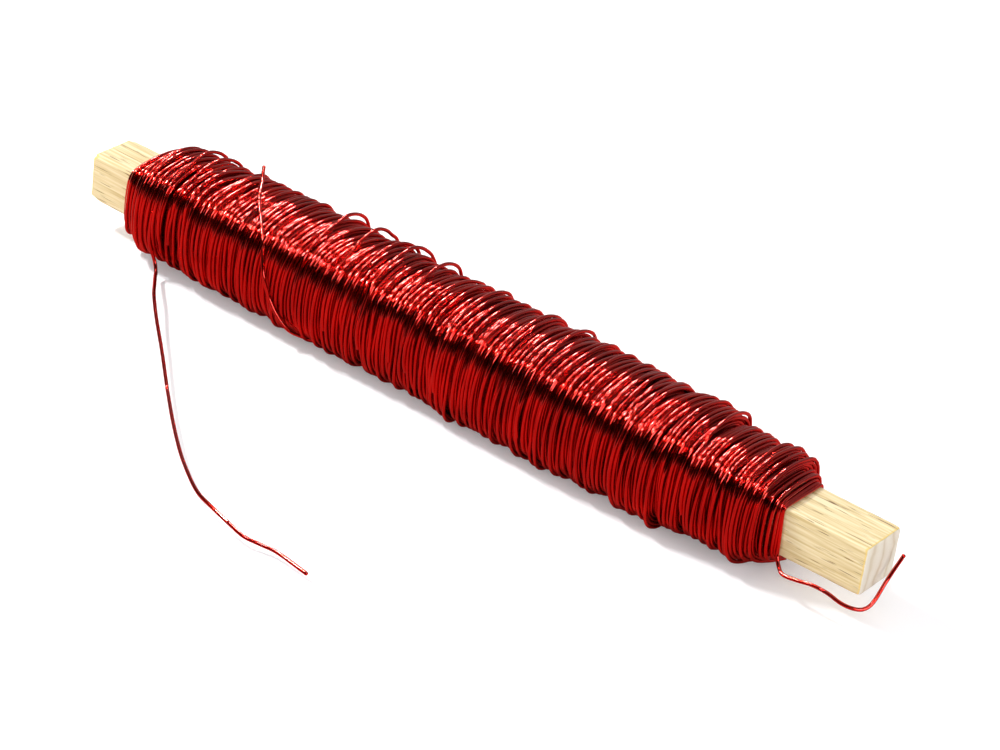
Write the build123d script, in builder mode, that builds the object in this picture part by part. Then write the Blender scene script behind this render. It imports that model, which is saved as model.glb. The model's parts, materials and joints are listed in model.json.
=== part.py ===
"""Binding wire wound on a square wooden stick: the stick, the winding layer by layer, and the free wire ends.

Units are millimetres. The origin is the centre of the stick's plain end face, +X runs along the stick and
+Z is up. The front of the spool, where the running end leaves it, faces -Y.
"""
from build123d import *
import math
import os

# Stick
STICK_LENGTH = 150.0
STICK_WIDTH = 8.9
STICK_HEIGHT = 8.0
STICK_EDGE_RADIUS = 0.5
WORN_EDGE_RADIUS = 0.35
END_EDGE_CHAMFER = 0.25

# Wire
WIRE_DIAMETER = 0.6
WIRE_RADIUS = WIRE_DIAMETER / 2
WIRE_CLEARANCE = 0.08
HINGE_CLEARANCE = 0.06
HINGE_GAP = WIRE_RADIUS + HINGE_CLEARANCE

# Winding: seven buried layers under one open outer layer
BURIED_LAYERS = 7
LAYER_RISE = 0.57
LAYER_CLEARANCE = 0.08
CORNER_GROWTH = 1.2
COIL_START = 6.5
COIL_END = 135.8
START_TAPER = 5.0
END_TAPER = 7.5

# Outer layer: its turns are laid in stretches of one wire, and the running tail leaves at the second stretch
OUTER_OFFSET = LAYER_CLEARANCE + BURIED_LAYERS * LAYER_RISE + WIRE_RADIUS
OUTER_START = 13.4
OUTER_PITCH = 1.06
OUTER_TURNS = 108
RUNNING_TURN = 5
STRETCH_TURNS = 26
STRETCH_GAP = 0.12

# Wires that lie or stand on the outer layer keep this offset from the stick
RIDING_OFFSET = OUTER_OFFSET + WIRE_DIAMETER + WIRE_CLEARANCE


def section_sizes(offset):
    """Half width, half height and corner radius of the winding's section at an offset from the stick."""
    return (
        STICK_WIDTH / 2 + offset,
        STICK_HEIGHT / 2 + offset,
        STICK_EDGE_RADIUS + CORNER_GROWTH * offset,
    )


def on_section(x, angle, offset):
    """Point on the rounded rectangle at an offset from the stick; angle 0 is +Y, 90 is +Z."""
    half_y, half_z, corner = section_sizes(offset)
    dy = math.cos(math.radians(angle))
    dz = math.sin(math.radians(angle))
    reach = min(half_y / max(abs(dy), 1e-9), half_z / max(abs(dz), 1e-9))
    centre_y = math.copysign(half_y - corner, dy)
    centre_z = math.copysign(half_z - corner, dz)
    if abs(reach * dy) > abs(centre_y) and abs(reach * dz) > abs(centre_z):
        along = dy * centre_y + dz * centre_z
        across = dy * centre_z - dz * centre_y
        reach = along + math.sqrt(corner ** 2 - across ** 2)
    return (x, reach * dy, reach * dz)


def short_of(point, other, gap):
    """The point moved back by gap along the line that joins it to the one before."""
    target = Vector(*point)
    return tuple(target - (target - Vector(*other)).normalized() * gap)


def save(name, part):
    part.label = name
    export_step(part, f"parts/{name}.step")


os.makedirs("parts", exist_ok=True)


# Square wooden stick: long edges eased, one end worn round at its corners
with BuildPart() as core_stick:
    with BuildSketch(Plane.YZ):
        RectangleRounded(STICK_WIDTH, STICK_HEIGHT, STICK_EDGE_RADIUS)
    extrude(amount=STICK_LENGTH)
    far_end = core_stick.faces().sort_by(Axis.X)[-1]
    chamfer(far_end.edges(), END_EDGE_CHAMFER)
    plain_end = core_stick.faces().sort_by(Axis.X)[0]
    upper_edges = plain_end.edges().filter_by(Axis.Y).group_by(Axis.Z)[-1]
    fillet(upper_edges, WORN_EDGE_RADIUS)
save("core_stick", core_stick.part)


def buried_layer(number):
    """Closed sleeve that fills the space of one layer of close turns; each layer is shorter than the last."""
    inside = LAYER_CLEARANCE + (number - 1) * LAYER_RISE
    outside = number * LAYER_RISE
    taper = ((number - 1) / BURIED_LAYERS) ** 2
    start = COIL_START + START_TAPER * taper
    end = COIL_END - END_TAPER * taper
    with BuildPart() as layer:
        with BuildSketch(Plane.YZ.offset(start)):
            half_y, half_z, corner = section_sizes(outside)
            RectangleRounded(2 * half_y, 2 * half_z, corner)
            half_y, half_z, corner = section_sizes(inside)
            RectangleRounded(2 * half_y, 2 * half_z, corner, mode=Mode.SUBTRACT)
        extrude(amount=end - start)
    return layer.part


for layer_number in range(1, BURIED_LAYERS + 1):
    save(f"winding_layer_{layer_number}", buried_layer(layer_number))


# Free ends: where each one is hinged, its bends and its tip
RUN_SWING = (19.4, -9.3, -7.4)
RUN_LIFT = (21.5, -11.8, -6.9)
RUN_CREST = (26.0, -16.9, -5.9)
RUN_KINK = (67.4, -51.7, -6.9)
RUN_BEND = (81.3, -53.7, -7.9)
RUN_TIP = (90.4, -54.1, -8.05)
START_SWING = (138.6, -6.4, -7.4)
START_TIP = (152.1, 2.5, 0.8)
CUT_LIFT = (46.8, -8.8, -5.75)
CUT_TIP = (25.6, 7.0, 9.6)


def wound_turn(x, offset):
    """Edges of one turn in the plane x, from the underside's front corner up, over and down to its back corner."""
    half_y, half_z, corner = section_sizes(offset)
    flat_y = half_y - corner
    flat_z = half_z - corner

    def corner_arc(centre_y, centre_z, first_angle):
        points = []
        for angle in (first_angle, first_angle - 45, first_angle - 90):
            dy = corner * math.cos(math.radians(angle))
            dz = corner * math.sin(math.radians(angle))
            points.append((x, centre_y + dy, centre_z + dz))
        return Edge.make_three_point_arc(*points)

    return [
        corner_arc(-flat_y, -flat_z, 270),
        Edge.make_line((x, -half_y, -flat_z), (x, -half_y, flat_z)),
        corner_arc(-flat_y, flat_z, 180),
        Edge.make_line((x, -flat_y, half_z), (x, flat_y, half_z)),
        corner_arc(flat_y, flat_z, 90),
        Edge.make_line((x, half_y, flat_z), (x, half_y, -flat_z)),
        corner_arc(flat_y, -flat_z, 0),
    ]


def crossover(x, gap=0.0):
    """The outer wire's step along the underside into the plane x, ended a gap short of the turn there."""
    half_y, half_z, corner = section_sizes(OUTER_OFFSET)
    first = (x - OUTER_PITCH, half_y - corner, -half_z)
    last = (x, corner - half_y + gap, -half_z)
    return Edge.make_spline([first, last], tangents=[(0, -1, 0), (0, -1, 0)])


def lead_in(hinge, bend, x, offset):
    """The wire from just short of a free end's hinge, round a bend, to the front face of the turn in the plane x."""
    half_y, half_z, corner = section_sizes(offset)
    start = short_of(hinge, bend, HINGE_GAP)
    points = [start, bend, (x, -half_y, corner - half_z)]
    return Edge.make_spline(points, tangents=[Vector(*bend) - Vector(*hinge), (0, 0, 1)])


def wire_along(edges):
    """Round wire swept along joined edges."""
    with BuildPart() as wire:
        with BuildLine() as path:
            add(edges)
        centre_line = path.wires()[0]
        with BuildSketch(Plane(origin=centre_line @ 0, z_dir=centre_line % 0)):
            Circle(WIRE_RADIUS)
        sweep(path=centre_line, clean=False)
    return wire.part


def hinged_wire(points):
    """Wire from its hinge, where it ends in a ball, through the points to its far end."""
    length = wire_along([Edge.make_spline(points)])
    with BuildPart() as wire:
        add(length)
        with Locations(points[0]):
            Sphere(WIRE_RADIUS)
    return wire.part


def outer_turn_x(turn):
    return OUTER_START + turn * OUTER_PITCH


def outer_stretch(first, last, beginning):
    """The outer layer's turns from first up to last, after the edges that lay the first one."""
    edges = list(beginning)
    for turn in range(first + 1, last):
        edges.append(crossover(outer_turn_x(turn)))
        edges.extend(wound_turn(outer_turn_x(turn), OUTER_OFFSET))
    edges.append(crossover(outer_turn_x(last), STRETCH_GAP))
    return wire_along(edges)


# Outer layer: open turns, with the running tail led out of the front of one of them
running_x = outer_turn_x(RUNNING_TURN)
running_lead = lead_in(RUN_SWING, (18.95, -9.1, -5.4), running_x, OUTER_OFFSET)
stretches = [
    outer_stretch(0, RUNNING_TURN, wound_turn(OUTER_START, OUTER_OFFSET)),
    outer_stretch(
        RUNNING_TURN,
        RUNNING_TURN + STRETCH_TURNS,
        [running_lead] + wound_turn(running_x, OUTER_OFFSET)[1:],
    ),
]
for first_turn_number in range(RUNNING_TURN + STRETCH_TURNS, OUTER_TURNS, STRETCH_TURNS):
    last_turn_number = min(first_turn_number + STRETCH_TURNS, OUTER_TURNS)
    first_edges = wound_turn(outer_turn_x(first_turn_number), OUTER_OFFSET)
    stretches.append(outer_stretch(first_turn_number, last_turn_number, first_edges))
with BuildPart() as outer_layer:
    add(stretches)
save("winding_layer_8", outer_layer.part)


# First turn: laid straight on the stick, with the start tail led out of its front
FIRST_OFFSET = WIRE_CLEARANCE + WIRE_RADIUS
FIRST_X = COIL_END + WIRE_DIAMETER
start_lead = lead_in(START_SWING, (137.3, -5.3, -6.2), FIRST_X, FIRST_OFFSET)
save("first_turn", wire_along([start_lead] + wound_turn(FIRST_X, FIRST_OFFSET)[1:]))


# Raised turns: slack outer turns that stand off the top of the winding, each at a place and of a height
RAISED_TURNS = [
    (18.6, 0.9),
    (21.0, 1.2),
    (47.0, 1.1),
    (53.4, 2.1),
    (57.2, 0.9),
    (60.4, 1.3),
    (66.0, 1.4),
    (70.6, 0.9),
]
RAISED_LEAN = 0.5
RAISED_LIFT = 0.1


def raised_turn(x, height):
    """Arch from one upper corner of the winding to the other."""
    front = on_section(x + RAISED_LEAN, 133, RIDING_OFFSET + RAISED_LIFT)
    back = on_section(x - RAISED_LEAN, 47, RIDING_OFFSET + RAISED_LIFT)
    crest = (x, 0, STICK_HEIGHT / 2 + RIDING_OFFSET + height)
    return wire_along([Edge.make_spline([front, crest, back])])


arches = [raised_turn(x, height) for x, height in RAISED_TURNS]
with BuildPart() as raised_turns:
    add(arches)
save("raised_turns", raised_turns.part)


# Cut end: a short end that comes out between the turns in front and lies slanting over the winding
cut_points = [
    CUT_LIFT,
    on_section(43.5, 192, RIDING_OFFSET + 0.1),
    on_section(40.6, 163, RIDING_OFFSET + 0.2),
    on_section(37.6, 137, RIDING_OFFSET + 0.4),
    on_section(32.0, 95, RIDING_OFFSET + 0.2),
    CUT_TIP,
]
save("cut_end", hinged_wire(cut_points))


# Running tail: neck, long span, kinked part and tip
neck_end = short_of(RUN_LIFT, RUN_SWING, HINGE_GAP)
save("running_tail_neck", hinged_wire([RUN_SWING, neck_end]))
span_end = short_of(RUN_KINK, (57.7, -45.0, -7.3), HINGE_GAP)
span_points = [RUN_LIFT, RUN_CREST, (36.7, -26.5, -6.9), (44.8, -33.8, -7.5), (57.7, -45.0, -7.3), span_end]
save("running_tail_span", hinged_wire(span_points))
middle_end = short_of(RUN_BEND, (75.4, -53.9, -7.2), HINGE_GAP)
save("running_tail_middle", hinged_wire([RUN_KINK, (75.4, -53.9, -7.2), middle_end]))
save("running_tail_tip", hinged_wire([RUN_BEND, RUN_TIP]))


# Start tail: along the stick's lower edge, under its end and up past it
start_points = [
    START_SWING,
    (141.2, -6.8, -7.6),
    (143.5, -5.5, -7.7),
    (148.2, -3.6, -7.8),
    (150.3, -2.2, -7.4),
    (151.6, 0.2, -4.7),
    START_TIP,
]
save("start_tail", hinged_wire(start_points))
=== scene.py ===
"""Binding wire wound on a square wooden stick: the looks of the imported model."""

import json
import math
import random

import bmesh
import bpy
import numpy as np
from mathutils import Matrix, Vector, noise


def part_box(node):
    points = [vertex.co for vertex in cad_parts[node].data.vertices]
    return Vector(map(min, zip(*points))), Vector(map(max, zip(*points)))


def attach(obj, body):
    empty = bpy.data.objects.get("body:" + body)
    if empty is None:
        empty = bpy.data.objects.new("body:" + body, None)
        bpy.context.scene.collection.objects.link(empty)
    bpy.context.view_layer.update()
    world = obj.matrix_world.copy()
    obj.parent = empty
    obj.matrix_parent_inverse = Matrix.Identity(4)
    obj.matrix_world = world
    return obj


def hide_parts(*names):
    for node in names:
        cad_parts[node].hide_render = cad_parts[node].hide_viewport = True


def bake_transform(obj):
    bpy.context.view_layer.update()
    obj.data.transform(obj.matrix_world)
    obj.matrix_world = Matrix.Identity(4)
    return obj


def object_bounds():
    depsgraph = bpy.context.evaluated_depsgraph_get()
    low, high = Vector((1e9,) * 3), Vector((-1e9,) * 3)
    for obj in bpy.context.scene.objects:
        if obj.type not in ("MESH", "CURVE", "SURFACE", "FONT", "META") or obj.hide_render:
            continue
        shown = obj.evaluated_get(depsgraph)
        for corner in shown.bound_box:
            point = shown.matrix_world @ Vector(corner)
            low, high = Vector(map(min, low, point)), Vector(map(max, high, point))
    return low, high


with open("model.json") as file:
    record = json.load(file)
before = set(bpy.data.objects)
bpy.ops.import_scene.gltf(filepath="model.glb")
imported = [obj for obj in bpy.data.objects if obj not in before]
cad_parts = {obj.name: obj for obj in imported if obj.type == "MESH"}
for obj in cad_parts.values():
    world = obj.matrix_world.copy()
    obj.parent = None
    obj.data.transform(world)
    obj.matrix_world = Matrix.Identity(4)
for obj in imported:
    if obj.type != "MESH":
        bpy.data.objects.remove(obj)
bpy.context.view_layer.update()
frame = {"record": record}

# Sizes of the wire and the stick are in millimetres; MM turns them into Blender's metres.
MM = 0.001
STICK_LOW, STICK_HIGH = (np.array(corner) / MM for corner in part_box("core_stick"))
STICK_LENGTH, STICK_WIDTH, STICK_HEIGHT = STICK_HIGH - STICK_LOW
COIL_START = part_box("winding_layer_1")[0][0] / MM
COIL_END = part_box("winding_layer_1")[1][0] / MM
HINGES = {
    joint["name"]: np.array(joint["pos_m"]) / MM
    for joint in frame["record"]["behaviour"]["joints"]
}

WIRE_RADIUS = 0.3
WIRE_DIAMETER = 2 * WIRE_RADIUS
HANG_BELOW_CAD = 0.5        # how far the winding's underside may hang below the CAD's
TABLE_GAP = -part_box("winding_layer_8")[0][2] / MM - WIRE_RADIUS + HANG_BELOW_CAD

# Every turn is sampled at the same angles round the stick: +Y is 0, and a turn starts underneath.
SAMPLES = 96
THETA = (np.arange(SAMPLES) / SAMPLES) * 2 * math.pi - math.pi / 2
TURN_SHARE = np.arange(SAMPLES) / SAMPLES


# ---------------------------------------------------------------- materials

# Colour ramps are lists of stops: position, then colour.
BLACK = (0, 0, 0, 1)
WHITE = (1, 1, 1, 1)
ENAMEL_REDS = [
    (0.3, (0.5, 0.008, 0.003, 1)),
    (0.55, (0.7, 0.016, 0.007, 1)),
    (0.75, (0.85, 0.03, 0.014, 1)),
]
BEECH_SHADES = [
    (0.34, (0.54, 0.4, 0.18, 1)),
    (0.5, (0.66, 0.53, 0.29, 1)),
    (0.62, (0.74, 0.62, 0.38, 1)),
]
RING_SHADES = [
    (0.0, (0.62, 0.54, 0.4, 1)),
    (0.2, (0.7, 0.64, 0.52, 1)),
    (1.0, (0.74, 0.69, 0.58, 1)),
]
PORE_BROWN = (0.16, 0.08, 0.02, 1)
EDGE_YELLOW = (0.74, 0.52, 0.14, 1)
PORE_MASK = [(0.64, BLACK), (0.7, WHITE)]
END_MASK = [(0.45, BLACK), (0.9, WHITE)]
EDGE_MASK = [(0.06, BLACK), (0.3, WHITE), (0.7, BLACK)]
TABLE_WHITES = [(0.3, (0.86, 0.85, 0.88, 1)), (0.7, (0.9, 0.9, 0.91, 1))]
TABLE_IN_WIRE = (0.45, 0.06, 0.05, 1)
TABLE_GLOW = 0.16


class Shading:
    """Nodes of a material or a world, with short calls to add them and feed their inputs."""

    def __init__(self, owner):
        owner.use_nodes = True
        self.nodes = owner.node_tree.nodes
        self.links = owner.node_tree.links

    def feed(self, node, inputs):
        """Set inputs of a node, each to a plain value or to the socket that drives it."""
        for name, value in inputs.items():
            if isinstance(value, bpy.types.NodeSocket):
                self.links.new(value, node.inputs[name])
            else:
                node.inputs[name].default_value = value

    def add(self, kind, inputs=None, **properties):
        node = self.nodes.new("ShaderNode" + kind)
        for name, value in properties.items():
            setattr(node, name, value)
        self.feed(node, inputs or {})
        return node

    def noise(self, vector, scale, **inputs):
        node = self.add("TexNoise", {"Vector": vector, "Scale": scale, **inputs})
        return node.outputs["Fac"]

    def ramp(self, source, stops):
        """Colour that the stops give for the source's value."""
        node = self.add("ValToRGB", {"Fac": source})
        elements = node.color_ramp.elements
        elements[0].position, elements[0].color = stops[0]
        elements[1].position, elements[1].color = stops[-1]
        for position, colour in stops[1:-1]:
            elements.new(position).color = colour
        return node.outputs["Color"]

    def mix(self, factor, first, second, blend_type="MIX"):
        """Colour between the first, at factor 0, and the second, at factor 1."""
        node = self.add("Mix", data_type="RGBA", blend_type=blend_type)
        self.feed(node, {"Factor": factor, "A": first, "B": second})
        return node.outputs["Result"]


def wire_material():
    """Red enamel over bright metal: a red metallic base under a clear coat, a little uneven."""
    material = bpy.data.materials.new("red_enamel_wire")
    shading = Shading(material)
    place = shading.add("TexCoord").outputs["Object"]
    drift = shading.noise(place, 160.0, Detail=3.0)
    speck = shading.noise(place, 300.0, Detail=1.0)
    rough = shading.add("MapRange", {"Value": speck, "To Min": 0.12, "To Max": 0.18})
    shading.feed(shading.nodes["Principled BSDF"], {
        "Base Color": shading.ramp(drift, ENAMEL_REDS),
        "Roughness": rough.outputs["Result"],
        "Metallic": 1.0,
        "Coat Weight": 1.0,
        "Coat Roughness": 0.05,
        "Coat IOR": 1.5,
    })
    return material


def wood_material():
    """Pale sawn beech: long grain, short dark pores along it and rings on the end faces."""
    material = bpy.data.materials.new("pale_beech")
    shading = Shading(material)
    place = shading.add("TexCoord").outputs["Object"]

    def stretched_noise(scale, detail, along, shift):
        """Noise drawn out along the stick."""
        mapping = shading.add("Mapping", {
            "Vector": place,
            "Location": (shift, shift * 0.7, 0.3),
            "Scale": (along, 1.0, 1.0),
        })
        return shading.noise(mapping.outputs["Vector"], scale, Detail=detail)

    grain = stretched_noise(2300.0, 7.0, along=0.03, shift=0.11)
    pores = stretched_noise(4400.0, 1.0, along=0.045, shift=0.43)
    faces = shading.mix(
        shading.ramp(pores, PORE_MASK), shading.ramp(grain, BEECH_SHADES), PORE_BROWN)

    # How far a face turns towards the stick's length: 0 on its sides and 1 on its ends.
    normal = shading.add("NewGeometry").outputs["Normal"]
    axes = shading.add("SeparateXYZ", {"Vector": normal})
    end_on = shading.add("Math", {0: axes.outputs["X"]}, operation="ABSOLUTE").outputs["Value"]
    rings = shading.add("TexWave", {
        "Vector": place, "Scale": 110.0, "Distortion": 7.0, "Detail": 3.0}, bands_direction="Y")
    ends = shading.ramp(rings.outputs["Color"], RING_SHADES)
    faces_and_ends = shading.mix(shading.ramp(end_on, END_MASK), faces, ends)

    bump = shading.add("Bump", {"Height": grain, "Strength": 0.5, "Distance": 0.00012})
    shading.feed(shading.nodes["Principled BSDF"], {
        "Base Color": shading.mix(shading.ramp(end_on, EDGE_MASK), faces_and_ends, EDGE_YELLOW),
        "Normal": bump.outputs["Normal"],
        "Roughness": 0.62,
        "Specular IOR Level": 0.3,
    })
    return material


def table_material():
    """White table top: it glows a little to the camera, and the wire mirrors it as dim red."""
    material = bpy.data.materials.new("white_table")
    shading = Shading(material)
    place = shading.add("TexCoord").outputs["Object"]
    white = shading.ramp(shading.noise(place, 30.0), TABLE_WHITES)
    ray = shading.add("LightPath")
    glow = shading.add(
        "Math", {0: ray.outputs["Is Camera Ray"], 1: TABLE_GLOW}, operation="MULTIPLY")
    shading.feed(shading.nodes["Principled BSDF"], {
        "Base Color": shading.mix(ray.outputs["Is Glossy Ray"], white, TABLE_IN_WIRE),
        "Emission Color": WHITE,
        "Emission Strength": glow.outputs["Value"],
        "Roughness": 0.6,
        "Specular IOR Level": 0.1,
    })
    return material


WIRE = wire_material()
WOOD = wood_material()


# ---------------------------------------------------------------- wire meshes

CAP_BULGE = 0.3             # height of the dome on a wire's end, in wire radii
BAKE_MARGIN = 0.03          # share of a row of the bake map left free above and below the wire
CURVE_STEPS = 14            # points between two knots of a free wire


def add_object(name, data):
    """New object in the scene, made of a mesh, a light or a camera."""
    item = bpy.data.objects.new(name, data)
    bpy.context.scene.collection.objects.link(item)
    return item


def tube_vertices(points, outward, sides):
    """Rings of vertices round the points, then the tips of the two ends."""
    tangent = np.gradient(points, axis=0)
    tangent /= np.linalg.norm(tangent, axis=1)[:, None]
    first = outward - tangent * np.sum(outward * tangent, axis=1)[:, None]
    first /= np.linalg.norm(first, axis=1)[:, None]
    second = np.cross(tangent, first)
    around = np.arange(sides) / sides * 2 * math.pi
    ring = (first[:, None, :] * np.cos(around)[None, :, None]
            + second[:, None, :] * np.sin(around)[None, :, None])
    vertices = (points[:, None, :] + ring * WIRE_RADIUS).reshape(-1, 3)
    bulge = WIRE_RADIUS * CAP_BULGE
    tips = np.array([points[0] - tangent[0] * bulge, points[-1] + tangent[-1] * bulge])
    return np.vstack([vertices, tips]) * MM


def tube_quads(count, sides):
    """Ring number and side number of each quad between two rings, in the order of the faces."""
    ring, side = np.meshgrid(np.arange(count - 1), np.arange(sides), indexing="ij")
    return ring.ravel(), side.ravel()


def tube_faces(count, sides):
    """Quads between the rings, and triangles that close the start and the end."""
    ring, side = tube_quads(count, sides)
    here = ring * sides
    there = (ring + 1) * sides
    following = (side + 1) % sides
    quads = np.stack([here + side, here + following, there + following, there + side], axis=1)
    k = np.arange(sides)
    last_ring = (count - 1) * sides
    start_tip = count * sides
    start = np.stack([np.full(sides, start_tip), (k + 1) % sides, k], axis=1)
    end = np.stack([np.full(sides, start_tip + 1), last_ring + k, last_ring + (k + 1) % sides], axis=1)
    return quads, np.vstack([start, end])


def tube_map(count, sides, row):
    """Bake map: the wire unrolled and stacked in rows, each as long as `row` rings."""
    ring, side = tube_quads(count, sides)
    rows = math.ceil((count - 1) / row)
    along = (ring % row) / row
    level = (ring // row)[:, None]
    u = np.stack([along, along, along + 1 / row, along + 1 / row], axis=1)
    across = np.stack([side, side + 1, side + 1, side], axis=1) / sides
    v = across * (1 - 2 * BAKE_MARGIN) + BAKE_MARGIN
    quads = np.stack([u, (level + v) / rows], axis=2).reshape(-1, 2)
    triangle = [[0.0, 0.0], [1 / row, 0.0], [0.0, BAKE_MARGIN / rows]]
    return np.vstack([quads, np.tile(triangle, (2 * sides, 1))])


def tube(name, points, outward, sides, row=None):
    """Closed round wire along points; outward is a vector at each point that sets its twist."""
    count = len(points)
    vertices = tube_vertices(points, outward, sides)
    quads, triangles = tube_faces(count, sides)
    corners = np.concatenate([quads.ravel(), triangles.ravel()])
    sizes = np.concatenate([np.full(len(quads), 4), np.full(len(triangles), 3)])
    mesh = bpy.data.meshes.new(name)
    mesh.vertices.add(len(vertices))
    mesh.vertices.foreach_set("co", vertices.ravel())
    mesh.loops.add(len(corners))
    mesh.loops.foreach_set("vertex_index", corners.astype(np.int32))
    mesh.polygons.add(len(sizes))
    mesh.polygons.foreach_set("loop_start", (np.cumsum(sizes) - sizes).astype(np.int32))
    mesh.update(calc_edges=True)
    bake_map = mesh.uv_layers.new(name="OFBake")
    bake_map.data.foreach_set("uv", tube_map(count, sides, row or count).ravel())
    mesh.polygons.foreach_set("use_smooth", np.ones(len(sizes), dtype=bool))
    mesh.materials.append(WIRE)
    mesh.validate()
    return add_object(name, mesh)


def smooth_curve(knots):
    """Points of a Catmull-Rom curve through the knots."""
    knots = [np.array(knot, dtype=float) for knot in knots]
    padded = [2 * knots[0] - knots[1]] + knots + [2 * knots[-1] - knots[-2]]
    points = []
    for a, b, c, d in zip(padded, padded[1:], padded[2:], padded[3:]):
        for t in np.arange(CURVE_STEPS) / CURVE_STEPS:
            points.append(0.5 * (2 * b + (c - a) * t + (2 * a - 5 * b + 4 * c - d) * t ** 2
                                 + (3 * b - a - 3 * c + d) * t ** 3))
    points.append(knots[-1])
    return np.array(points)


# ---------------------------------------------------------------- winding

LAYERS = 8
LAYER_SEED = 31
CORNER_RADIUS = 0.5         # roundness of the stick under the wire
TINY = 1e-9
CLOSEST_SPACING = 2.04 * WIRE_RADIUS

# Turns lie in bunches, drawn together from an even pitch.
BUNCH_SIZES = (1, 2, 2, 3, 3, 4, 5)
BUNCH_SHIFT = 0.12
BUNCH_TIGHTNESS = (0.55, 0.9)

# How a random sequence wanders from turn to turn: its reach in turns, and the gain that
# brings back most of the spread that smoothing takes away.
WANDER_REACH = 2.2
WANDER_GAIN = 2.4
WANDER_SPARE = 6

# How a turn takes its shape.
WRAP = 24                   # samples repeated at both ends of a turn while it is smoothed
STIFF_REACH = 2.0
STIFF_SHARE = 0.25
PRESS_IN = 0.12             # how deep a turn may press into those below
TABLE_SIDE = -0.2           # sine of the angle below which a turn faces the table
PHASE_SPREAD = 0.8
EVEN_SHARE = 0.25           # share of its advance that a turn makes evenly
CROSSING = 0.38             # share of a turn, underneath, in which it makes the rest
X_REACH = 1.5
RADIUS_REACH = 1.2
FIRST_X = COIL_START - 0.2
LAST_X = COIL_END + 0.1


def stick_radius(grow):
    """Distance from the stick's axis to its rounded outline, grown outwards, at each angle."""
    best = np.zeros_like(THETA)
    for side_y in (-1, 1):
        for side_z in (-1, 1):
            y = side_y * (STICK_WIDTH / 2 - CORNER_RADIUS)
            z = side_z * (STICK_HEIGHT / 2 - CORNER_RADIUS)
            reach = y * np.cos(THETA) + z * np.sin(THETA)
            across = z * np.cos(THETA) - y * np.sin(THETA)
            inside = (CORNER_RADIUS + grow) ** 2 - across ** 2
            corner = np.where(inside > 0, reach + np.sqrt(np.maximum(inside, 0)), 0)
            best = np.maximum(best, corner)
    return best


def half_hull(points):
    """One side of the convex hull of points that are sorted along it."""
    chain = []
    for point in points:
        while len(chain) > 1:
            (ay, az), (by, bz) = chain[-2], chain[-1]
            if (by - ay) * (point[1] - az) - (bz - az) * (point[0] - ay) > 0:
                break
            chain.pop()
        chain.append(point)
    return chain[:-1]


def taut(radius):
    """Radius of the tight loop of string round a section given by its radius at each angle."""
    y = radius * np.cos(THETA)
    z = radius * np.sin(THETA)
    points = [(y[k], z[k]) for k in np.argsort(y + TINY * np.arange(SAMPLES))]
    hull = np.array(half_hull(points) + half_hull(points[::-1]))
    angles = np.arctan2(hull[:, 1], hull[:, 0])
    turn = np.argsort(angles)
    hull, angles = hull[turn], angles[turn]

    # Each angle's ray from the axis crosses the hull's edge from p to q.
    wrapped = (THETA + math.pi) % (2 * math.pi) - math.pi
    index = np.searchsorted(angles, wrapped, side="right") - 1
    p = hull[index % len(hull)]
    q = hull[(index + 1) % len(hull)]
    edge = q - p
    edge_moment = p[:, 0] * q[:, 1] - p[:, 1] * q[:, 0]
    ray_moment = np.cos(wrapped) * edge[:, 1] - np.sin(wrapped) * edge[:, 0]
    crossing = edge_moment / np.where(np.abs(ray_moment) > TINY, ray_moment, np.inf)
    return np.maximum(crossing, radius)


def soften(values, reach):
    """Sequence smoothed with a short bell curve."""
    margin = int(3 * reach)
    kernel = np.exp(-0.5 * (np.arange(-margin, margin + 1) / reach) ** 2)
    kernel /= kernel.sum()
    return np.convolve(np.pad(values, margin, mode="edge"), kernel, mode="valid")


def wandering(count, spread, draw):
    """Smooth random sequence, one value a turn."""
    values = np.array([draw.gauss(0, 1) for _ in range(count + 2 * WANDER_SPARE)])
    smooth = soften(values, WANDER_REACH)[WANDER_SPARE:WANDER_SPARE + count]
    return smooth * spread * WANDER_GAIN


def turn_places(start, end, pitch, draw):
    """Places of a layer's turns along the stick: an even pitch, drawn together into bunches."""
    count = int((end - start) / pitch)
    places = []
    while len(places) < count:
        bunch = min(draw.choice(BUNCH_SIZES), count - len(places))
        first = start + len(places) * pitch
        centre = first + (bunch - 1) * pitch / 2 + draw.uniform(-BUNCH_SHIFT, BUNCH_SHIFT)
        spacing = max(CLOSEST_SPACING, pitch * draw.uniform(*BUNCH_TIGHTNESS))
        places += [centre + (k - (bunch - 1) / 2) * spacing for k in range(bunch)]
    return places


def turn_advance():
    """Share of the way to the next turn at each angle: most of it is crossed underneath."""
    crossed = np.abs(TURN_SHARE - 0.5) * 2 - (1 - CROSSING)
    step = np.clip(crossed, 0, CROSSING) / CROSSING
    crossing = np.where(TURN_SHARE < 0.5, 0.5 - 0.5 * step, 0.5 + 0.5 * step)
    return EVEN_SHARE * TURN_SHARE + (1 - EVEN_SHARE) * crossing


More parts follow.
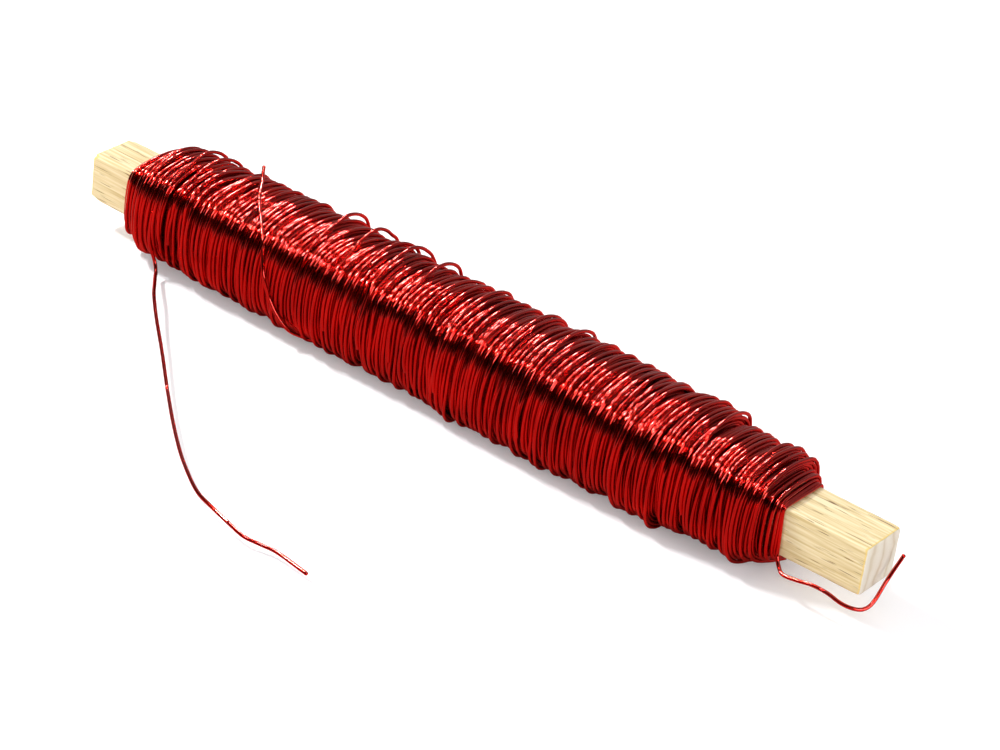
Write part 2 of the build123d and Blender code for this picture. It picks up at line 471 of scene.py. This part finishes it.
class Winding:
    """Turns laid one after another, each pulled tight over those below it."""

    def __init__(self):
        self.x = np.zeros((0, SAMPLES))
        self.r = np.zeros((0, SAMPLES))

    def support(self, x):
        """Radius at which a turn at x rests on the stick and the turns already laid."""
        rest = stick_radius(WIRE_RADIUS)
        if len(self.x):
            near = np.abs(self.x - x[None, :])
            touch = np.sqrt(np.maximum(WIRE_DIAMETER ** 2 - near ** 2, 0))
            over = np.where(near < WIRE_DIAMETER, self.r + touch, 0)
            rest = np.maximum(rest, over.max(axis=0))
        return rest

    def lay(self, x, slack):
        """Lay one turn, and return its radius at each angle."""
        support = self.support(x)
        tight = taut(support)
        wrapped = np.concatenate([tight[-WRAP:], tight, tight[:WRAP]])
        stiff = soften(wrapped, STIFF_REACH)[WRAP:-WRAP]
        shaped = tight * (1 - STIFF_SHARE) + stiff * STIFF_SHARE
        r = np.maximum(shaped, support - PRESS_IN) + slack
        below = np.sin(THETA) < TABLE_SIDE
        r[below] = np.minimum(r[below], TABLE_GAP / -np.sin(THETA[below]))
        self.x = np.vstack([self.x, x])
        self.r = np.vstack([self.r, r])
        return r

    def layer(self, start, end, pitch, tilt, slack, backwards, draw):
        """Lay one layer and return its centre line: x and radius at each sample."""
        places = turn_places(start, end, pitch, draw)
        if backwards:
            places = places[::-1]
        count = len(places)
        places.append(places[-1] + (places[-1] - places[-2]))
        lean = wandering(count + 1, tilt, draw)
        phase = wandering(count + 1, PHASE_SPREAD, draw)
        looseness = np.abs(wandering(count + 1, slack, draw))
        advance = turn_advance()
        over_faces = 0.5 + 0.5 * np.cos(4 * THETA)
        xs, rs = [], []
        for k in range(count):
            centre = places[k] + (places[k + 1] - places[k]) * advance
            leaning = lean[k] + (lean[k + 1] - lean[k]) * TURN_SHARE
            turned = phase[k] + (phase[k + 1] - phase[k]) * TURN_SHARE
            x = np.clip(centre + leaning * np.cos(THETA + turned), FIRST_X, LAST_X)
            xs.append(x)
            rs.append(self.lay(x, looseness[k] * over_faces))
        return soften(np.concatenate(xs), X_REACH), soften(np.concatenate(rs), RADIUS_REACH)


def winding_wire(name, x, r, sides, thin=1):
    """Wire of one layer, with one in `thin` of its samples kept, that rides on the spool."""
    theta = np.resize(THETA, len(x))
    points = np.stack([x, r * np.cos(theta), r * np.sin(theta)], axis=1)
    outward = np.stack([np.zeros(len(x)), np.cos(theta), np.sin(theta)], axis=1)
    wire = tube(name, points[::thin], outward[::thin], sides, row=SAMPLES // thin)
    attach(wire, "spool")
    return wire


winding = Winding()
draws = random.Random(LAYER_SEED)

# Layers over part of the stick, by the full layer that covers them: name, x from and to,
# pitch and seed.
PART_LAYERS = {
    1: ("end_turns", COIL_END - 6.0, COIL_END + 0.2, CLOSEST_SPACING, 7),
    5: ("middle_turns", 26.0, 117.0, 0.85, 11),
    7: ("upper_turns", 76.0, 121.0, 1.15, 12),
}


def part_layer(name, start, end, pitch, seed):
    """Layer over part of the stick, which builds the winding up there."""
    x, r = winding.layer(
        start, end, pitch=pitch, tilt=0.02, slack=0.01, backwards=False,
        draw=random.Random(seed))
    winding_wire(name, x, r, sides=6)


def full_layer(number):
    """One of the CAD's layers: shorter, wider in pitch and looser the further out it lies."""
    inset = ((number - 1) / (LAYERS - 1)) ** 2
    x, r = winding.layer(
        COIL_START + 2.2 + 5.0 * inset, COIL_END + 0.6 - 8.0 * inset,
        pitch=0.7 + 0.065 * number, tilt=0.06 + 0.05 * number, slack=0.01 + 0.004 * number,
        backwards=number % 2 == 0, draw=draws)
    buried = number <= LAYERS - 3
    wire = winding_wire(
        f"winding_turns_{number}", x, r, sides=6 if buried else 8, thin=2 if buried else 1)
    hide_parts(f"winding_layer_{number}")


for number in range(1, LAYERS + 1):
    if number in PART_LAYERS:
        part_layer(*PART_LAYERS[number])
    full_layer(number)


# ---------------------------------------------------------------- free wire ends

TWIST_SIDE = [0.13, 0.21, 0.97]


def free_wire(name, knots, sides=10):
    """Round wire through the knots, with a steady twist."""
    points = smooth_curve(knots)
    return tube(name, points, np.tile(TWIST_SIDE, (len(points), 1)), sides)


def across_hinge(piece):
    """Apply the piece's placement to its mesh; its shape is left as it is."""
    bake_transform(piece)


def on_winding(x, angle, lift=0.0):
    """Point that rests on the finished winding; angle 0 is +Y and 90 is +Z."""
    k = int(round((math.radians(angle) + math.pi / 2) / (2 * math.pi) * SAMPLES)) % SAMPLES
    r = taut(winding.support(np.full(SAMPLES, float(x))))[k] + lift
    return np.array([x, r * math.cos(THETA[k]), r * math.sin(THETA[k])])


# The running tail: four wires that meet end to end, each bent across one hinge.
tail_exit = np.array([18.5, -8.7, -6.2])
neck_middle = (HINGES["running_tail_swing"] + HINGES["running_tail_lift"]) / 2
span_start = (23.6, -14.2, -6.3)
crest = (26.0, -16.9, -5.9)
span_middle = (44.8, -33.8, -7.5)
span_last = (62.9, -48.9, -7.0)
kink_after = (71.3, -53.0, -6.9)
middle_crest = (75.4, -53.9, -7.2)
tip_before = (78.6, -54.3, -7.6)
tip_after = (84.2, -53.3, -8.0)

root = free_wire("running_tail_root", [
    on_winding(17.0, 166, -0.3), on_winding(17.1, 180), on_winding(17.4, 196),
    on_winding(17.8, 208), tail_exit, HINGES["running_tail_swing"], neck_middle])
across_hinge(root)
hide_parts("running_tail_neck")

span = free_wire("running_tail_span_wire", [
    neck_middle, HINGES["running_tail_lift"], span_start, crest, (30.6, -21.2, -6.3),
    (36.7, -26.5, -6.9), span_middle])
across_hinge(span)
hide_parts("running_tail_span")

kinked = free_wire("running_tail_kinked_wire", [
    span_middle, (51.3, -39.6, -7.5), (57.7, -45.0, -7.3), span_last,
    HINGES["running_tail_kink"], kink_after, middle_crest])
across_hinge(kinked)
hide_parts("running_tail_middle")

tip = free_wire("running_tail_tip_wire", [
    middle_crest, tip_before, HINGES["running_tail_bend"], tip_after, (90.4, -54.1, -8.05)])
across_hinge(tip)
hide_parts("running_tail_tip")

# The start tail: it comes round the stick beside the winding, then runs along and up past
# the stick's end, 2.2 mm above its CAD node on the same vertical axis.
START_RISE = 2.2
front_y = STICK_LOW[1] - WIRE_RADIUS
start_hinge = HINGES["start_tail_swing"] + np.array([0.0, 0.0, START_RISE])
start_before = (137.3, -5.7, -4.8)
start_after = (141.1, -6.6, -4.8)
start_wire = free_wire("start_tail_wire", [
    (135.6, 2.0, -4.3), (135.9, 4.4, -4.1), (136.1, 4.75, -2.0), (136.1, 4.75, 2.0),
    (136.1, 4.4, 4.1), (136.1, 2.0, 4.3), (136.0, -2.0, 4.3), (135.9, -4.3, 4.15),
    (135.8, front_y, 3.4), (136.0, front_y - 0.1, 0.4), (136.2, -4.95, -2.0),
    (136.45, -5.2, -3.6), start_before, start_hinge, start_after, (143.5, -6.6, -4.3),
    (146.1, -6.6, -4.3), (148.4, -6.3, -5.0), (150.05, -5.4, -5.5), (151.1, -4.2, -5.6),
    (151.6, -2.7, -4.8), (151.6, 0.2, -2.2), (152.2, 2.5, 1.2)])
across_hinge(start_wire)
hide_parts("start_tail", "first_turn")

# The cut end: up the front of the winding, over its top edge and into the air.
cut_before = on_winding(48.6, 220, -0.25)
cut_after = on_winding(45.0, 203, 0.1)
cut = free_wire("cut_end_wire", [
    on_winding(50.5, 228, -0.5), cut_before, HINGES["cut_end_lift"], cut_after,
    on_winding(43.2, 186, 0.1), on_winding(41.6, 164, 0.1), on_winding(38.9, 139, 0.2),
    on_winding(35.3, 118, 0.2), (33.2, -2.2, 9.8), (30.9, 0.9, 10.6), (29.2, 3.1, 11.5)])
across_hinge(cut)
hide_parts("cut_end")


# ---------------------------------------------------------------- slack turns

SLACK_ANGLES = range(-8, 206, 12)
SLACK_SPAN = 213            # degrees over which a slack turn makes its shift
RISE_ANGLE = 78
RISE_WIDTH = 32
SINK_DEPTH = 0.55
SINK_POWER = 6

# Place along the stick, height over the winding, and shift along the stick.
SLACK_TURNS = [
    (18.6, 0.9, 1.6),
    (21.0, 1.2, -0.8),
    (47.0, 0.9, 1.6),
    (53.4, 2.2, 1.0),
    (57.2, 0.7, -1.0),
    (60.4, 0.9, 1.2),
    (66.0, 1.1, 1.4),
    (70.6, 0.6, -1.2),
    (76.0, 0.4, 1.0),
    (92.0, 0.3, 1.4),
    (121.0, 0.3, 1.5),
]


def slack_turn(index, x, height, shift):
    """Loose turn that stands off the top and sinks into the winding behind and in front."""
    knots = []
    for angle in SLACK_ANGLES:
        share = (angle - SLACK_ANGLES[0]) / SLACK_SPAN
        rise = height * math.exp(-((angle - RISE_ANGLE) / RISE_WIDTH) ** 2)
        sink = SINK_DEPTH * (abs(share - 0.5) * 2) ** SINK_POWER
        knots.append(on_winding(x + shift * (share - 0.5), angle, rise - sink))
    return free_wire(f"slack_turn_{index}", knots, sides=8)


slack_pieces = [slack_turn(index + 1, *turn) for index, turn in enumerate(SLACK_TURNS)]
for piece in slack_pieces:
    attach(piece, "spool")
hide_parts("raised_turns")


# ---------------------------------------------------------------- stick

STICK_ROWS = 420            # rows of faces along the stick
STEPS_ACROSS_Y = 22
STEPS_ACROSS_Z = 20
CORNER_STEPS = 3
EDGE_RADIUS = 0.32
END_MARGIN = 0.25           # distance from an end face to the first full ring
EDGE_ZONE = 0.18            # how much of the section counts as near an edge
END_SCALES = (0.04, 0.2, 0.4, 0.6, 0.78, 0.9, 0.965)
CHAMFER_RING = (0.06, 0.988)


def stick_outline():
    """Points round the stick's section, with rounded corners."""
    half_y, half_z = STICK_WIDTH / 2, STICK_HEIGHT / 2
    outline = []
    for corner_y, corner_z, start_angle, face, steps in (
            (half_y, -half_z, -90, STICK_HEIGHT, STEPS_ACROSS_Z),
            (half_y, half_z, 0, STICK_WIDTH, STEPS_ACROSS_Y),
            (-half_y, half_z, 90, STICK_HEIGHT, STEPS_ACROSS_Z),
            (-half_y, -half_z, 180, STICK_WIDTH, STEPS_ACROSS_Y)):
        y = corner_y - math.copysign(EDGE_RADIUS, corner_y)
        z = corner_z - math.copysign(EDGE_RADIUS, corner_z)
        for step in range(CORNER_STEPS + 1):
            angle = math.radians(start_angle + 90 / CORNER_STEPS * step)
            outline.append(Vector((y + EDGE_RADIUS * math.cos(angle),
                                   z + EDGE_RADIUS * math.sin(angle))))
        here = outline[-1]
        heading = math.radians(start_angle + 90)
        along_face = Vector((-math.sin(heading), math.cos(heading))) * (face - 2 * EDGE_RADIUS)
        for step in range(1, steps):
            outline.append(here + along_face * step / steps)
    return outline


def stick_rings():
    """Place along the stick and scale of each ring, with small rings that fill the end faces."""
    near_end = [(0.0, scale) for scale in END_SCALES] + [CHAMFER_RING]
    full_length = STICK_LENGTH - 2 * END_MARGIN
    full = [(END_MARGIN + full_length * k / STICK_ROWS, 1.0) for k in range(STICK_ROWS + 1)]
    far_end = [(STICK_LENGTH - x, scale) for x, scale in reversed(near_end)]
    return near_end + full + far_end


def weather(vertex):
    """Rub the edges and corners, raise the grain, and roughen the end faces."""
    x, y, z = vertex.co
    from_far = STICK_LENGTH - x
    section = abs(y) / (STICK_WIDTH / 2) + abs(z) / (STICK_HEIGHT / 2)
    near_edge = max(0.0, section - (2 - EDGE_ZONE)) / EDGE_ZONE
    end_wear = math.exp(-x / 1.1) + 0.35 * math.exp(-from_far / 0.8)
    chips = 0.5 + 0.5 * noise.noise(Vector((x * 0.9, y * 1.3, z * 1.3)))
    wear = near_edge * (0.05 + 0.75 * end_wear) * (0.3 + 1.1 * chips)
    grain = noise.noise(Vector((x * 0.12, y * 3.1, z * 3.1)))
    fine = noise.noise(Vector((x * 0.5, y * 9.0, z * 9.0)))
    raised = 0.05 * grain + 0.03 * fine
    vertex.co -= Vector((0, y, z)).normalized() * (wear * 0.7 + 0.05 - raised * 0.8)
    if x < 0.3:
        vertex.co.x += 0.55 * wear + 0.08 * (1 + fine)
    if from_far < 0.3:
        saw = noise.noise(Vector((3.0, y * 2.4, z * 0.9)))
        vertex.co.x -= 0.4 * wear + 0.05 * (1 + saw)


def stick_piece():
    """Sawn stick as a fine grid of faces."""
    outline = stick_outline()
    mesh = bmesh.new()
    rings = []
    for x, scale in stick_rings():
        rings.append([mesh.verts.new(Vector((x, p.x * scale, p.y * scale))) for p in outline])
    for ring, after in zip(rings, rings[1:]):
        for k in range(len(outline)):
            following = (k + 1) % len(outline)
            mesh.faces.new((ring[k], after[k], after[following], ring[following]))
    mesh.faces.new(rings[0])
    mesh.faces.new(list(reversed(rings[-1])))
    for vertex in mesh.verts:
        weather(vertex)
        vertex.co *= MM
    data = bpy.data.meshes.new("beech_stick")
    mesh.to_mesh(data)
    mesh.free()
    for polygon in data.polygons:
        polygon.use_smooth = True
    data.materials.append(WOOD)
    return add_object("beech_stick", data)


stick = stick_piece()
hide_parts("core_stick")
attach(stick, "spool")


# ---------------------------------------------------------------- table, lights and sky

# Everything from here on is in metres.
TABLE_HALF = 3
TABLE_CLEARANCE = 0.00002
table_mesh = bpy.data.meshes.new("table")
table_mesh.from_pydata(
    [(-TABLE_HALF, -TABLE_HALF, 0), (TABLE_HALF, -TABLE_HALF, 0),
     (TABLE_HALF, TABLE_HALF, 0), (-TABLE_HALF, TABLE_HALF, 0)],
    [], [(0, 1, 2, 3)])
table_mesh.materials.append(table_material())
table = add_object("table", table_mesh)
table.location.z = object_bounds()[0][2] - TABLE_CLEARANCE

LIT_CENTRE = Vector((0.075, 0.0, 0.0))

# Panels only make highlights: direction from the centre, and power.
PANEL_DISTANCE = 0.6
PANEL_SIZE = (0.10, 0.05)
PANELS = [
    ((-0.50, 0.10, 0.86), 1.5),
    ((-0.45, 0.40, 0.80), 1.6),
    ((-0.35, 0.60, 0.72), 1.3),
    ((-0.20, -0.32, 0.92), 0.9),
]

# Fills make no highlights: place and power.
FILL_SIZE = (0.6, 0.5)
FILLS = [
    ((0.35, -0.75, 0.40), 2.6),
    ((-0.45, -0.30, 0.30), 1.2),
    ((0.1, 0.7, 0.5), 3.0),
]


def area_light(name, place, size, power):
    """Rectangular light that faces the middle of the object."""
    data = bpy.data.lights.new(name, "AREA")
    data.shape = "RECTANGLE"
    data.size, data.size_y = size
    data.energy = power
    light = add_object(name, data)
    light.location = place
    light.rotation_euler = (LIT_CENTRE - Vector(place)).to_track_quat("-Z", "Y").to_euler()
    return light


area_light("key", place=(-0.30, -0.16, 0.50), size=(0.12, 0.04), power=3.4)
area_light("overhead", place=(0.10, 0.02, 0.60), size=(0.60, 0.56), power=0.5)
for direction, power in PANELS:
    panel_place = LIT_CENTRE + PANEL_DISTANCE * Vector(direction)
    area_light("panel", panel_place, PANEL_SIZE, power).visible_diffuse = False
area_light("side", place=(0.65, -0.12, 0.25), size=(0.22, 0.22), power=1.2)
for place, power in FILLS:
    area_light("fill", place, FILL_SIZE, power).visible_glossy = False


def grey(level):
    return (level, level, level, 1)


SKY_LIGHT = 0.3
MIRRORED_SKY = [
    (0.0, grey(0.3)), (0.08, grey(0.05)), (0.2, grey(0.008)), (0.75, grey(0.015)), (0.95, grey(0.2)),
]
BEHIND = [(0.1, BLACK), (0.5, grey(0.26))]

# The sky lights the scene evenly, but the wire mirrors a dark one, paler behind and overhead.
world = bpy.data.worlds.new("studio")
sky = Shading(world)
sky_place = sky.add("TexCoord").outputs["Generated"]
sky_axes = sky.add("SeparateXYZ", {"Vector": sky_place}).outputs
mirrored = sky.mix(
    1.0, sky.ramp(sky_axes["Z"], MIRRORED_SKY), sky.ramp(sky_axes["Y"], BEHIND),
    blend_type="LIGHTEN")
glossy_ray = sky.add("LightPath").outputs["Is Glossy Ray"]
sky.feed(sky.nodes["Background"], {"Color": sky.mix(glossy_ray, grey(SKY_LIGHT), mirrored)})
bpy.context.scene.world = world
bpy.context.scene.view_settings.view_transform = "Standard"


# ---------------------------------------------------------------- camera

CAMERA_AZIMUTH = math.radians(34.16)
CAMERA_ELEVATION = math.radians(30.67)
CAMERA_ROLL = math.radians(8.07)
CAMERA_DISTANCE = 0.5207
CAMERA_TARGET = Vector((0.0801, 0.0017, -0.0025))
CAMERA_LENS = 123.5

back = Vector((math.sin(CAMERA_AZIMUTH) * math.cos(CAMERA_ELEVATION),
               -math.cos(CAMERA_AZIMUTH) * math.cos(CAMERA_ELEVATION),
               math.sin(CAMERA_ELEVATION)))
level = Vector((math.cos(CAMERA_AZIMUTH), math.sin(CAMERA_AZIMUTH), 0))
upright = back.cross(level)
right = level * math.cos(CAMERA_ROLL) + upright * math.sin(CAMERA_ROLL)
up = upright * math.cos(CAMERA_ROLL) - level * math.sin(CAMERA_ROLL)
camera_data = bpy.data.cameras.new("camera")
camera_data.lens = CAMERA_LENS
camera = add_object("camera", camera_data)
camera_turn = Matrix((right, up, back)).transposed().to_4x4()
camera.matrix_world = Matrix.Translation(CAMERA_TARGET + back * CAMERA_DISTANCE) @ camera_turn
bpy.context.scene.camera = camera
